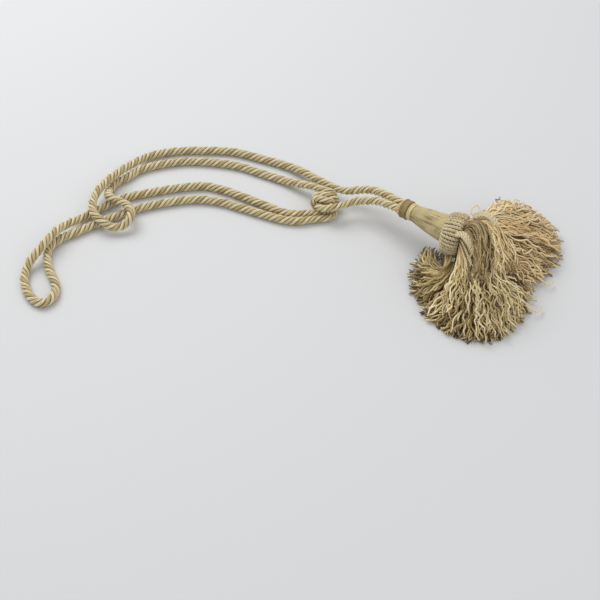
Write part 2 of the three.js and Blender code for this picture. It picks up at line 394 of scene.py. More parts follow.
# ---- camera, floor and light
cameraSetup = {
    "location": (-0.1695, -0.6572, 0.6725),
    "tilt": 43,  # degrees up from looking straight down
    "lens": 60,
}
camera = bpy.data.objects.new("camera", bpy.data.cameras.new("camera"))
camera.location = cameraSetup["location"]
camera.rotation_euler = (math.radians(cameraSetup["tilt"]), 0, 0)
camera.data.lens = cameraSetup["lens"]
camera.data.sensor_width = 36
bpy.context.scene.collection.objects.link(camera)
bpy.context.scene.camera = camera
print("camera set")


# ---- the rope, one length from the collar and back to it
rope = {
    "diameter": 0.0085,
    "length": 1.84,
    "pitch": 0.0215,  # one full turn of the lay
    "plies": 4,
    "pointsPerPly": 7,
    "plyOffset": 0.282,  # a ply's middle from the rope's middle, as a share of the diameter
    "plyRadius": 0.225,
    "spacing": 0.00105,
    "inCollar": 0.004,  # how far each end runs on inside the collar
    "easing": 6,  # rounds of smoothing along the line
    "knotReach": 0.034,  # how far from the knot's middle its passes are moved
    "gripRise": 2.5,  # how steeply the grip comes on from there inwards
    "squeeze": 0.86,  # the rope's thickness where the knot grips it, as a share of its own
    "settling": 150,  # rounds of pushing the knot's passes off each other
    "pushShare": 0.5,  # how much of an overlap goes in one round
    "settleEasing": 0.15,
    "ownTurn": 1.6,  # thicknesses along the line that don't count as another pass
}
ropeLook = {
    "cream": dyed(252, 240, 202),
    "beige": dyed(226, 206, 152),
    "olive": dyed(194, 168, 104),
    # the colour of the painted shade in the grooves between plies and between yarns
    "plyGrooveShade": dyed(58, 42, 14),
    "roughness": 0.34,
    "sheen": 0.1,
    "yarnsPerPly": 3,
    "yarnPitch": 0.024,
    "yarnDepth": 0.0003,
    "paintedYarnShade": 0.45,
    "patchSize": 0.012,
    "patchiness": 1.4,
    "patchShare": 0.35,
}
routes = {
    "linkUpper": [
        (-0.1189, 0.1041, 0.0155), (-0.108, 0.1025, 0.019), (-0.0973, 0.0966, 0.023),
        (-0.0874, 0.0853, 0.028), (-0.0795, 0.075, 0.0315), (-0.0742, 0.0689, 0.0328),
        (-0.0682, 0.0636, 0.0332),
    ],
    "linkLower": [
        (-0.1197, 0.0863, 0.0165), (-0.1142, 0.0862, 0.018), (-0.1036, 0.0827, 0.022),
        (-0.0933, 0.0763, 0.0265), (-0.0835, 0.0658, 0.031), (-0.0786, 0.0612, 0.0325),
        (-0.07405, 0.0568, 0.0332),
    ],
    "armA": [
        (-0.163, 0.141, 0.0075), (-0.172, 0.149, 0.0063), (-0.187, 0.159, 0.0046), (-0.212, 0.17, 0.0043),
        (-0.24, 0.1805, 0.0043), (-0.275, 0.183, 0.0043), (-0.305, 0.181, 0.0043), (-0.33, 0.171, 0.0055),
        (-0.35, 0.146, 0.011), (-0.365, 0.122, 0.014), (-0.373, 0.103, 0.0145), (-0.375, 0.087, 0.0142),
        (-0.371, 0.072, 0.0138), (-0.363, 0.064, 0.012), (-0.356, 0.061, 0.0085), (-0.349, 0.06, 0.007),
        (-0.342, 0.062, 0.008), (-0.337, 0.066, 0.011), (-0.335, 0.074, 0.0138), (-0.339, 0.083, 0.0142),
        (-0.346, 0.089, 0.0142), (-0.353, 0.093, 0.014), (-0.36, 0.098, 0.014), (-0.3625, 0.1075, 0.0092),
        (-0.363, 0.119, 0.0048), (-0.358, 0.13, 0.0043), (-0.3475, 0.139, 0.0043), (-0.336, 0.151, 0.0043),
        (-0.311, 0.161, 0.0043), (-0.284, 0.165, 0.0043), (-0.237, 0.158, 0.0043), (-0.211, 0.146, 0.0043),
        (-0.186, 0.133, 0.0052), (-0.17, 0.1225, 0.009), (-0.16, 0.116, 0.013),
    ],
    "armB": [
        (-0.178, 0.082, 0.0052), (-0.187, 0.0848, 0.0044), (-0.197, 0.091, 0.0043),
        (-0.227, 0.1085, 0.0043), (-0.245, 0.118, 0.0043), (-0.266, 0.125, 0.0043),
        (-0.292, 0.1225, 0.0043), (-0.322, 0.115, 0.0043), (-0.351, 0.105, 0.0043), (-0.368, 0.091, 0.0043),
        (-0.383, 0.077, 0.0055), (-0.396, 0.063, 0.0095), (-0.404, 0.05, 0.013), (-0.41, 0.037, 0.0136),
        (-0.4145, 0.027, 0.0132), (-0.4195, 0.0185, 0.0115), (-0.4245, 0.011, 0.0075),
        (-0.427, 0.002, 0.0048), (-0.426, -0.01, 0.0043), (-0.421, -0.023, 0.0043),
        (-0.413, -0.034, 0.0043), (-0.405, -0.038, 0.0043), (-0.398, -0.034, 0.0043),
        (-0.395, -0.025, 0.0043), (-0.3965, -0.014, 0.0043), (-0.407, 0.009, 0.0043),
        (-0.411, 0.031, 0.0043), (-0.407, 0.04, 0.0043), (-0.4005, 0.048, 0.0043), (-0.387, 0.057, 0.0043),
        (-0.37, 0.0685, 0.0043), (-0.352, 0.079, 0.0043), (-0.331, 0.091, 0.0043), (-0.305, 0.0995, 0.0043),
        (-0.277, 0.1045, 0.0043), (-0.252, 0.1015, 0.0043), (-0.226, 0.091, 0.0043), (-0.201, 0.08, 0.0043),
        (-0.185, 0.074, 0.0043), (-0.169, 0.0725, 0.0045),
    ],
    "outerPass": [
        (-0.0193, 0.0479, 0.0075), (-0.0082, 0.0361, 0.009), (0.0018, 0.0268, 0.0115),
        (0.008, 0.0205, 0.0125), (0.0133, 0.0158, 0.0125), (0.0185, 0.0126, 0.0135),
        (0.0248, 0.011, 0.0155),
    ],
    "turns": [
        (-0.0163, 0.0229, 0.013), (-0.0087, 0.0163, 0.0145), (-0.0019, 0.0115, 0.0175),
        (0.0051, 0.0086, 0.018), (0.011, 0.0073, 0.014), (0.012, 0.0065, 0.009), (0.008, 0.005, 0.0048),
        (-0.002, 0.004, 0.0044), (-0.01, 0.005, 0.005), (-0.0145, 0.005, 0.0095), (-0.012, 0.0045, 0.0145),
        (-0.006, 0.0025, 0.018), (0.0019, 0.0006, 0.0187), (0.0089, -0.0008, 0.016),
        (0.012, -0.0015, 0.011), (0.0085, -0.003, 0.0052), (-0.003, -0.0045, 0.0044),
        (-0.011, -0.003, 0.005), (-0.014, -0.0008, 0.009), (-0.0098, -0.0015, 0.015),
        (-0.0031, -0.0034, 0.0178), (0.0048, -0.0052, 0.0175), (0.0105, -0.0065, 0.0135),
        (0.011, -0.0075, 0.0085), (0.006, -0.008, 0.0048), (-0.006, -0.0075, 0.0044),
        (-0.016, -0.0085, 0.0046), (-0.0245, -0.0114, 0.0049), (-0.0343, -0.0111, 0.0052),
    ],
    "innerPass": [
        (-0.0253, -0.0206, 0.0045), (-0.014, -0.0182, 0.0044), (-0.003, -0.0165, 0.0044),
        (0.0055, -0.0125, 0.0046), (0.0095, -0.0055, 0.006), (0.006, 0.0005, 0.008),
        (-0.002, 0.0015, 0.0095), (-0.009, -0.0015, 0.0105), (-0.0124, -0.0065, 0.0115),
        (-0.0095, -0.0125, 0.0135), (-0.0032, -0.0158, 0.0152), (0.0053, -0.0144, 0.0155),
        (0.0131, -0.0098, 0.015), (0.0186, -0.0074, 0.0155), (0.024, -0.0068, 0.0165),
    ],
}
knotMiddle = np.array((-0.1437, 0.0931, 0))
collarMiddle = middle("collar_band")
neckAxis = (middle("binding_ring") - collarMiddle).normalized()


def knotGrip(path):
    # 1 in the middle of the knot, falling to 0 at its edge.
    out = np.linalg.norm((path - knotMiddle)[:, :2], axis=1) / rope["knotReach"]
    return np.clip(rope["gripRise"] * (1 - out), 0, 1)


def settleKnot(path):
    # Passes that share space in the knot push each other apart, and the line smooths itself.
    thickness = rope["diameter"] * rope["squeeze"]
    inKnot = np.where(knotGrip(path) > 0)[0]
    along = np.abs(inKnot[:, None] - inKnot[None]) * rope["spacing"]
    isOther = along > rope["ownTurn"] * thickness
    path = path.copy()
    for _ in range(rope["settling"]):
        part = path[inKnot]
        grip = knotGrip(part)[:, None]
        gap = part[:, None] - part[None]
        distance = np.linalg.norm(gap, axis=-1) + 1e-9
        short = np.where(isOther, np.clip(thickness - distance, 0, None), 0)
        push = (gap / distance[..., None] * short[..., None]).sum(axis=1)
        push /= np.maximum((short > 0).sum(axis=1), 1)[:, None]
        path[inKnot] += rope["pushShare"] * push * grip
        eased = (path[inKnot - 2] + path[inKnot - 1] + path[inKnot + 1] + path[inKnot + 2]) / 4
        path[inKnot] += rope["settleEasing"] * (eased - path[inKnot]) * grip
        path[inKnot, 2] = np.maximum(path[inKnot, 2], thickness / 2)
    return path


def ropeRoute():
    # From the collar by the upper link round arm A, through the knot, round arm B and back.
    inside = np.array(neckAxis) * rope["inCollar"]
    link = {name: np.array(routes[name]) for name in ("linkUpper", "linkLower")}
    inKnot = {name: np.array(routes[name]) + knotMiddle for name in ("outerPass", "turns", "innerPass")}
    stretches = [
        link["linkUpper"][-1:] + inside,
        link["linkUpper"][::-1],
        inKnot["outerPass"][::-1],
        np.array(routes["armA"]),
        inKnot["turns"],
        np.array(routes["armB"]),
        inKnot["innerPass"],
        link["linkLower"],
        link["linkLower"][-1:] + inside,
    ]
    points = [stretches[0][0]]
    for point in np.vstack(stretches)[1:]:
        if np.linalg.norm(point - points[-1]) > 0.001:
            points.append(point)
    path = smoothPath(points, rope["spacing"])
    for _ in range(rope["easing"]):
        path[1:-1] = (path[:-2] + 2 * path[1:-1] + path[2:]) / 4
    return evenSteps(settleKnot(evenSteps(path, rope["spacing"])), rope["spacing"])


def ropeMaterial():
    # Cream, beige, cream and olive plies side by side, with painted shade darkening the grooves between
    # them.
    material, tree, shader = newMaterial("twistedRope", ropeLook)
    unwrapped = tree.nodes.new("ShaderNodeUVMap")
    unwrapped.uv_map = "UVMap"
    split = tree.nodes.new("ShaderNodeSeparateXYZ")
    tree.links.new(unwrapped.outputs["UV"], split.inputs[0])
    ply = calc(tree, "MULTIPLY", split.outputs["X"], float(rope["plies"]))
    isOdd = calc(tree, "GREATER_THAN", calc(tree, "MODULO", ply, 2.0), 1.0)
    isOlive = calc(tree, "GREATER_THAN", ply, 3.0)
    yarnColour = mixColour(tree, isOdd, ropeLook["cream"], ropeLook["beige"])
    yarnColour = mixColour(tree, isOlive, yarnColour, ropeLook["olive"])
    patches = placeGroup(
        tree, "dyeCloud", Dark=ropeLook["olive"], Base=ropeLook["beige"], Light=ropeLook["cream"],
        Tone=0.55, Patch_Size=ropeLook["patchSize"], Patchiness=ropeLook["patchiness"],
    )
    yarnColour = mixColour(tree, ropeLook["patchShare"], yarnColour, patches["Color"])
    lines = placeGroup(
        tree, "strandLines", Strands=float(rope["plies"] * ropeLook["yarnsPerPly"]),
        Pitch=ropeLook["yarnPitch"], Fuzz_Size=0.0012, Fuzz=0.5,
    )
    # Painted shade in the fine grooves between the yarns of each ply.
    shade = calc(tree, "MULTIPLY", lines["Groove"], ropeLook["paintedYarnShade"])
    yarnColour = mixColour(tree, shade, yarnColour, ropeLook["plyGrooveShade"])
    # Painted shade: each ply darkens from its crest into the grooves on either side.
    fromCrest = calc(tree, "ABSOLUTE", calc(tree, "SUBTRACT", calc(tree, "FRACT", ply), 0.5))
    plyGrooveShade = calc(tree, "MULTIPLY", softStep(tree, fromCrest, 0.3, 0.5), 0.9)
    tree.links.new(mixColour(tree, plyGrooveShade, yarnColour, ropeLook["plyGrooveShade"]), shader.inputs["Base Color"])
    bumpInto(tree, shader, lines["Height"], ropeLook["yarnDepth"])
    return material


def makeRope():
    path = ropeRoute()
    sides = rope["plies"] * rope["pointsPerPly"]
    inPly = (np.arange(sides) % rope["pointsPerPly"]) / rope["pointsPerPly"] - 0.5
    fromCrest = inPly * 2 * math.pi / rope["plies"]
    offset = rope["plyOffset"] * rope["diameter"]
    plyRadius = rope["plyRadius"] * rope["diameter"]
    section = offset * np.cos(fromCrest) + np.sqrt(plyRadius**2 - (offset * np.sin(fromCrest)) ** 2)
    gaps = np.linalg.norm(np.diff(path, axis=0), axis=1)
    along = np.concatenate([[0], np.cumsum(gaps)])
    lay = -2 * math.pi * along / rope["pitch"]
    angles = lay[:, None] + 2 * math.pi * np.arange(sides) / sides
    radii = section * (1 - (1 - rope["squeeze"]) * knotGrip(path))[:, None]
    rings = tubeRings(path[None], radii[None], angles[None])
    piece = joinedTubes("rope", rings, np.full((1, len(path)), 0.5))
    finishPiece(piece, ropeMaterial(), "rope", "arm_a", "arm_b", "knot", "link_upper", "link_lower")
    print("rope laid,", round(along[-1], 3), "m")


makeRope()


# ---- the neck: collar, binding and bell, turned about one leaning axis
neck = {
    "collarHalf": 0.0037,
    "collarRadius": 0.0095,
    "collarRibs": 56,
    "throatLength": 0.0045,
    "throatPleats": 20,
    "bindingHalf": 0.0021,
    "bindingWraps": 4,
    "bindingRadius": 0.0080,
    "bellFrom": 0.0087,  # from the collar's middle
    "bellTo": 0.0535,
    "bellStartRadius": 0.0076,
    "bellEndRadius": 0.0136,
    "bellThreads": 66,
    "threadDepth": 0.00034,
}
collarLook = {
    "dark": dyed(78, 58, 22), "base": dyed(156, 132, 78), "light": dyed(206, 182, 122),
    "patchSize": 0.006, "patchiness": 0.6, "strands": 64.0, "pitch": 0.02,
    "fuzzSize": 0.0006, "fuzz": 0.5, "paintedGrooveShade": 0.5, "lineDepth": 0.0002,
    "roughness": 0.5, "sheen": 0.2, "shaded": False,
}
throatLook = dict(
    collarLook, dark=dyed(120, 88, 52), base=dyed(214, 182, 130), light=dyed(240, 216, 172),
    strands=44.0, pitch=0.05,
)
bindingLook = {
    "dark": dyed(130, 106, 56), "base": dyed(232, 216, 168), "light": dyed(250, 238, 200),
    "patchSize": 0.005, "patchiness": 0.5, "strands": 3.0, "pitch": 0.0009,
    "fuzzSize": 0.0006, "fuzz": 0.4, "paintedGrooveShade": 0.35, "lineDepth": 0.00015,
    "roughness": 0.55, "sheen": 0.2, "shaded": False,
}
bellLook = {
    "dark": dyed(92, 70, 28), "base": dyed(210, 190, 132), "light": dyed(240, 224, 174),
    "patchSize": 0.009, "patchiness": 0.9, "strands": 66.0, "pitch": 0.6,
    "fuzzSize": 0.0009, "fuzz": 0.5, "paintedGrooveShade": 0.7, "lineDepth": 0.0003,
    "roughness": 0.36, "sheen": 0.15, "shaded": False, "streaks": 46.0,
}


def makeCollar():
    half, radius = neck["collarHalf"], neck["collarRadius"]
    profile = [
        (-half, 0), (-half, 0.8 * radius), (-half + 0.0001, 0.94 * radius),
        (-half + 0.0006, radius + 0.0002), (-half + 0.0013, radius),
        (-half + 0.0018, 0.975 * radius), (0, 0.97 * radius), (half - 0.0018, 0.975 * radius),
        (half - 0.0013, radius), (half - 0.0006, radius + 0.0001), (half - 0.0001, 0.94 * radius),
        (half, 0.8 * radius), (half, 0),
    ]

    def ribbed(along, radius, angle):
        inside = 1 - abs(along / half) ** 4
        rib = 0.00012 * math.cos(angle * neck["collarRibs"]) * max(inside, 0)
        return along, radius + (rib if radius > 0.008 else 0), angle

    piece = turnedPiece("collar", profile, collarMiddle, neckAxis, 192, ribbed)
    finishPiece(piece, yarnMaterial("collarBraid", collarLook), "collar", "collar_band")


def makeThroat():
    # The gathered tan threads that close round the two ropes where they enter the collar.
    half, length = neck["collarHalf"], neck["throatLength"]
    profile = [
        (-half + 0.001, 0), (-half + 0.001, 0.0074), (-half, 0.0084), (-half - 0.3 * length, 0.0085),
        (-half - 0.7 * length, 0.0082), (-half - length, 0.0077), (-half - 1.02 * length, 0.0066),
        (-half - 0.7 * length, 0.0045), (-half - 0.5 * length, 0),
    ]

    def gathered(along, radius, angle):
        out = min(max((-half - along) / length, 0), 1)
        pleat = 1 + 0.035 * math.cos(angle * neck["throatPleats"] + 0.6 * math.sin(3 * angle))
        flat = 1 - 0.38 * out * math.cos(angle) ** 2
        return along, radius * pleat * flat, angle

    piece = turnedPiece("throat", profile, collarMiddle, neckAxis, 132, gathered)
    finishPiece(piece, yarnMaterial("throatThread", throatLook), "collar")


def makeBinding():
    # Wraps of cream thread, side by side.
    half, radius, wraps = neck["bindingHalf"], neck["bindingRadius"], neck["bindingWraps"]
    centre = middle("binding_ring")
    wrapRadius = half / wraps
    profile = [(-half, 0), (-half, radius - 0.0006)]
    for i in range(wraps):
        for step in range(1, 8):
            turn = math.pi * step / 8
            along = -half + wrapRadius * (2 * i + 1 - math.cos(turn))
            profile.append((along, radius + wrapRadius * math.sin(turn)))
        profile.append((-half + 2 * wrapRadius * (i + 1), radius - 0.0001))
    profile += [(half, radius - 0.0006), (half, 0)]

    def slack(along, radius, angle):
        return along + 0.00025 * math.sin(angle + 0.7), radius, angle

    piece = turnedPiece("binding", profile, centre, neckAxis, 96, slack)
    finishPiece(piece, yarnMaterial("bindingThread", bindingLook), "binding", "binding_ring")


def makeBell():
    start, stop = neck["bellFrom"], neck["bellTo"]
    rows = 26
    profile = [(start, 0)]
    for i in range(rows + 1):
        t = i / rows
        flare = 1 - (1 - t) ** 1.5
        radius = neck["bellStartRadius"] + (neck["bellEndRadius"] - neck["bellStartRadius"]) * flare
        profile.append((start + (stop - start) * t, radius))
    profile.append((stop, 0))

    def threaded(along, radius, angle):
        if radius < 0.5 * neck["bellStartRadius"]:
            return along, radius, angle
        t = (along - start) / (stop - start)
        uneven = 0.6 + 0.4 * math.sin(5 * angle + 1.3) * math.sin(11 * angle)
        ridge = abs(math.cos(angle * neck["bellThreads"] / 2 + 0.4 * math.sin(7 * angle)))
        sag = 0.0003 * math.sin(3 * angle + 4 * t) * t
        return along, radius + neck["threadDepth"] * uneven * ridge + sag, angle

    piece = turnedPiece("bell", profile, collarMiddle, neckAxis, 336, threaded)
    finishPiece(piece, yarnMaterial("bellSatin", bellLook), "bell", "bell")


makeCollar()
makeThroat()
makeBinding()
makeBell()
print("neck turned")


# ---- the ruff: the fringe's heading, rolled up, with its braid in rows round it
ruff = {
    "centre": Vector((-0.0266, 0.0228, 0.0335)),
    "axis": Vector((0.9, -0.435, 0)).normalized(),
    # distance along the axis, and radius
    "profile": [
        (-0.0088, 0.0128), (-0.0084, 0.0144), (-0.0072, 0.0168), (-0.0045, 0.0187),
        (0.0, 0.0199), (0.0045, 0.0203), (0.0076, 0.0197), (0.0090, 0.0180), (0.0092, 0.0160),
    ],
    "rows": 36,
    "steps": 40,
    "twist": 0.0062,  # one turn of a row's two strands
    "strandRadius": 0.00092,
    "strandOffset": 0.00076,
    "strandSides": 7,
    "coreDepth": 0.0018,
}
ruffLook = {
    "dark": dyed(120, 98, 56), "base": dyed(222, 206, 166), "light": dyed(243, 232, 202),
    "patchSize": 0.008, "patchiness": 0.5, "strands": 4.0, "pitch": 0.0022,
    "fuzzSize": 0.0005, "fuzz": 0.6, "paintedGrooveShade": 0.3, "lineDepth": 0.0002,
    "roughness": 0.8, "sheen": 0.3,
}
# The core is coloured darker than the rows: painted shade in the slots between them.
ruffCoreLook = dict(
    ruffLook, dark=dyed(96, 78, 42), base=dyed(176, 156, 108), light=dyed(206, 188, 140), shaded=False,
)
ruffMaterial = yarnMaterial("ruffBraid", ruffLook)


def twistedPair(line, outward, sideways, scale, start):
    # Two strands wound round each other along a line: gives back their two paths.
    gaps = np.linalg.norm(np.diff(line, axis=0), axis=1)
    along = np.concatenate([[0], np.cumsum(gaps)])
    strands = []
    for strand in (0, 1):
        turn = 2 * math.pi * along / ruff["twist"] + math.pi * strand + start
        reach = ruff["strandOffset"] * scale[:, None]
        strands.append(line + reach * (np.cos(turn)[:, None] * outward + np.sin(turn)[:, None] * sideways))
    return strands


def makeRuffRows():
    draw = np.random.default_rng(11)
    axis = np.array(ruff["axis"])
    across = np.array((-axis[1], axis[0], 0))
    profile = np.array(ruff["profile"])
    steps = ruff["steps"]
    outline = evenSteps(np.column_stack([profile, np.zeros(len(profile))]), 0.001)
    picks = np.linspace(0, len(outline) - 1, steps)
    along = np.interp(picks, np.arange(len(outline)), outline[:, 0])
    radius = np.interp(picks, np.arange(len(outline)), outline[:, 1])
    scale = radius / radius.max()
    paths, radii, tones = [], [], []
    for row in range(ruff["rows"]):
        angle = 2 * math.pi * (row + draw.uniform(-0.12, 0.12)) / ruff["rows"]
        wave = 0.012 * np.sin(np.linspace(0, 5, steps) + draw.uniform(0, 6))
        turn = angle + wave
        outward = np.cos(turn)[:, None] * across + np.sin(turn)[:, None] * np.array((0, 0, 1))
        sideways = np.cross(axis, outward)
        swell = 1 + draw.uniform(-0.02, 0.015)
        line = np.array(ruff["centre"]) + along[:, None] * axis + (radius * swell)[:, None] * outward
        for path in twistedPair(line, outward, sideways, scale, draw.uniform(0, 6)):
            path[:, 2] = np.maximum(path[:, 2], ruff["strandRadius"])
            paths.append(path)
            radii.append(ruff["strandRadius"] * scale)
            tones.append(np.full(steps, 0.55 + draw.uniform(-0.15, 0.15)))
    rings = roundTubes(np.array(paths), np.array(radii), ruff["strandSides"])
    piece = joinedTubes("ruffRows", rings, np.array(tones))
    finishPiece(piece, ruffMaterial, "ruff", "ruff_braid")


def makeRuffCore():
    depth = ruff["coreDepth"]
    profile = [(along, radius - depth) for along, radius in ruff["profile"]]
    profile = [(profile[0][0], 0)] + profile + [(profile[-1][0], 0)]
    piece = turnedPiece("ruffCore", profile, ruff["centre"], ruff["axis"], 96)
    finishPiece(piece, yarnMaterial("ruffCore", ruffCoreLook), "ruff")


makeRuffCore()
makeRuffRows()
print("ruff rolled")


# ---- the fringe: locks of crimped threads that fan out of the ruff
fringe = {
    "threadRadius": 0.00078,
    "sides": 5,
    "steps": 27,
    "crossing": 0.09,  # how far a tip strays from its root's place across the lock
    "hook": 0.0035,
    "rooted": -0.05,  # where a thread starts inside the ruff, as a share of its length
    "tone": 0.62,  # the middle shade, from 0, dark, to 1, light
    "clumpShade": 0.13,
    "threadShade": 0.21,
    # painted shade: threads lying lower in a lock, under the others, are made darker
    "paintedUnderShade": 0.35,  # how much darker the lowest threads are
    "tipShade": 0.14,
}
# Each lock's guides run across it; a guide is a thread's bent line, from the ruff to the tip.
locks = {
    "fringeRight": {
        "replaces": "fringe_right", "shades": (-0.08, 0.04, 0.06, 0),
        "threads": 700, "clumps": 26, "look": "peach", "seed": 21,
        "depth": 0.92, "shortest": 0.62, "kink": 0.0019, "wander": 0.0034,
        "guides": [
            [(-0.0102, 0.0346, 0.032), (0.008, 0.058, 0.033), (0.029, 0.089, 0.018)],
            [(-0.012, 0.030, 0.044), (0.020, 0.054, 0.047), (0.063, 0.089, 0.012)],
            [(-0.0143, 0.0244, 0.050), (0.032, 0.043, 0.048), (0.083, 0.060, 0.008)],
            [(-0.0162, 0.0198, 0.051), (0.028, 0.023, 0.044), (0.081, 0.022, 0.006)],
            [(-0.0175, 0.0165, 0.046), (0.008, 0.0, 0.030), (0.045, -0.027, 0.005)],
        ],
    },
    "fringeLower": {
        "replaces": "fringe_lower", "shades": (0.05, 0.05, -0.08, -0.24),
        "threads": 700, "clumps": 28, "look": "sand", "seed": 22,
        "depth": 0.92, "shortest": 0.62, "kink": 0.0019, "wander": 0.0034,
        "guides": [
            [(-0.0184, 0.0142, 0.046), (0.005, -0.009, 0.031), (0.043, -0.040, 0.005)],
            [(-0.0205, 0.0091, 0.048), (0.007, -0.030, 0.045), (0.024, -0.068, 0.005)],
            [(-0.0222, 0.0049, 0.044), (-0.006, -0.040, 0.043), (-0.007, -0.087, 0.005)],
            [(-0.0237, 0.0012, 0.038), (-0.022, -0.040, 0.037), (-0.037, -0.076, 0.005)],
            [(-0.0247, -0.0012, 0.028), (-0.034, -0.036, 0.026), (-0.060, -0.050, 0.005)],
        ],
    },
    "fringeLeft": {
        "replaces": "fringe_left", "threads": 260, "clumps": 10, "look": "olive", "seed": 23,
        "depth": 0.9, "shortest": 0.7, "kink": 0.0013, "wander": 0.0024,
        "guides": [
            [(-0.027, -0.005, 0.022), (-0.034, -0.032, 0.022), (-0.062, -0.038, 0.006)],
            [(-0.0295, -0.0042, 0.022), (-0.038, -0.027, 0.025), (-0.066, -0.018, 0.009)],
            [(-0.0325, -0.0032, 0.020), (-0.043, -0.020, 0.026), (-0.065, 0.001, 0.014)],
            [(-0.0365, -0.0022, 0.016), (-0.046, -0.011, 0.020), (-0.057, 0.019, 0.018)],
        ],
    },
    "lockCurl": {
        "threads": 150, "clumps": 5, "look": "olive", "seed": 26,
        "depth": 0.5, "shortest": 0.72, "kink": 0.0006, "wander": 0.0016,
        "guides": [
            [
                (-0.029, 0.010, 0.026), (-0.029, -0.012, 0.030), (-0.040, -0.030, 0.026),
                (-0.050, -0.002, 0.020), (-0.041, 0.021, 0.018),
            ],
            [
                (-0.034, 0.012, 0.020), (-0.033, -0.018, 0.026), (-0.050, -0.040, 0.022),
                (-0.060, 0.004, 0.014), (-0.044, 0.028, 0.016),
            ],
            [
                (-0.036, 0.012, 0.018), (-0.035, -0.024, 0.020), (-0.057, -0.042, 0.016),
                (-0.066, 0.008, 0.010), (-0.048, 0.030, 0.012),
            ],
        ],
    },
    "lockTop": {
        "threads": 90, "clumps": 6, "look": "cream", "seed": 27,
        "depth": 0.35, "shortest": 0.6, "kink": 0.003, "wander": 0.005,
        "guides": [
            [(-0.004, 0.026, 0.046), (0.006, 0.043, 0.050), (0.018, 0.055, 0.044), (0.028, 0.044, 0.042)],
            [(-0.002, 0.024, 0.048), (0.014, 0.036, 0.052), (0.032, 0.050, 0.046), (0.042, 0.070, 0.028)],
        ],
    },
    "lockDark": {
        "threads": 130, "clumps": 5, "look": "brown", "seed": 24,
        "depth": 0.2, "shortest": 0.8, "kink": 0.0008, "wander": 0.002,
        "guides": [
            [
                (-0.0215, 0.006, 0.046), (-0.024, 0.003, 0.063),
                (-0.017, -0.008, 0.054), (-0.012, -0.034, 0.036),
            ],
            [
                (-0.019, 0.014, 0.049), (-0.006, 0.017, 0.067),
                (-0.006, -0.010, 0.054), (-0.012, -0.046, 0.033),
            ],
            [
                (-0.016, 0.021, 0.050), (0.008, 0.026, 0.063),
                (0.006, -0.006, 0.053), (-0.004, -0.044, 0.033),
            ],
        ],
    },
    "lockLight": {
        "threads": 110, "clumps": 4, "look": "cream", "seed": 25,
        "depth": 0.16, "shortest": 0.75, "kink": 0.0009, "wander": 0.003,
        "guides": [
            [(-0.006, 0.020, 0.050), (0.008, 0.020, 0.058), (0.003, -0.006, 0.048), (0.006, -0.032, 0.033)],
            [(-0.004, 0.024, 0.050), (0.014, 0.022, 0.056), (0.020, 0.006, 0.048), (0.032, -0.016, 0.030)],
        ],
    },
}
threadLook = {
    "patchSize": 0.03, "patchiness": 0.5, "strands": 2.0, "pitch": 0.0026,
    "fuzzSize": 0.0005, "fuzz": 0.3, "paintedGrooveShade": 0.3, "lineDepth": 0.00018,
    "roughness": 0.5, "sheen": 0.2,
}
threadDyes = {
    "peach": {"dark": dyed(84, 54, 20), "base": dyed(240, 208, 150), "light": dyed(253, 234, 190)},
    "sand": {"dark": dyed(62, 42, 14), "base": dyed(200, 172, 110), "light": dyed(255, 242, 196)},
    "olive": {"dark": dyed(60, 45, 14), "base": dyed(160, 138, 80), "light": dyed(226, 206, 148)},
    "cream": {"dark": dyed(150, 116, 60), "base": dyed(240, 216, 160), "light": dyed(255, 244, 208)},
    "brown": {"dark": dyed(46, 34, 12), "base": dyed(146, 122, 74), "light": dyed(206, 182, 130)},
}
threadMaterials = {
    name: yarnMaterial("thread_" + name, dict(threadLook, **dyes)) for name, dyes in threadDyes.items()
}


def guidePoints(guides, across):
    # The control points at places across a lock, from 0 to 1: (count, points, 3).
    guides = np.array(guides)
    stations = np.linspace(0, 1, len(guides))
    flat = guides.reshape(len(guides), -1)
    columns = [np.interp(across, stations, flat[:, k]) for k in range(flat.shape[1])]
    return np.stack(columns, axis=-1).reshape(len(across), *guides.shape[1:])


def bentLines(controls, t):
    # Bezier curves for (count, points, 3) controls at (count, steps) places.
    degree = controls.shape[1] - 1
    lines = 0
    for k in range(degree + 1):
        weight = math.comb(degree, k) * (1 - t) ** (degree - k) * t**k
        lines = lines + weight[..., None] * controls[:, None, k]
    return lines


def ownWaves(draw, along, length):
    # A wave along each thread, of about that length, with a size and start of its own.
    count = len(along)
    turns = along / (length * draw.uniform(0.7, 1.5, (count, 1))) + draw.uniform(0, 1, (count, 1))
    return draw.uniform(0.2, 1.3, (count, 1)) * np.sin(2 * math.pi * turns)


def restingLines(lock, draw):
    # Each thread as the guides lead it, before its own bends: its place across and down the
    # lock, its clump, the places along its curve, and its line.
    count = lock["threads"]
    across = np.sort(draw.uniform(0, 1, count))
    below = draw.uniform(0, 1, count)
    clump = np.floor(across * lock["clumps"] + draw.normal(0, 0.25, count)).clip(0, lock["clumps"] - 1)
    clump = clump.astype(int)
    clumpMiddle = (clump + 0.5) / lock["clumps"]
    strayed = (across + draw.normal(0, fringe["crossing"], count)).clip(0, 1)
    controls = guidePoints(lock["guides"], across)
    controls[:, -1] = 0.3 * guidePoints(lock["guides"], clumpMiddle)[:, -1]
    controls[:, -1] += 0.7 * guidePoints(lock["guides"], strayed)[:, -1]
    controls[..., 2] *= 1 - lock["depth"] * below[:, None]
    reach = lock["shortest"] + (1 - lock["shortest"]) * np.maximum(below, draw.uniform(0, 1, count))
    t = reach[:, None] * np.linspace(fringe["rooted"], 1, fringe["steps"])
    return across, below, clump, t, bentLines(controls, t)


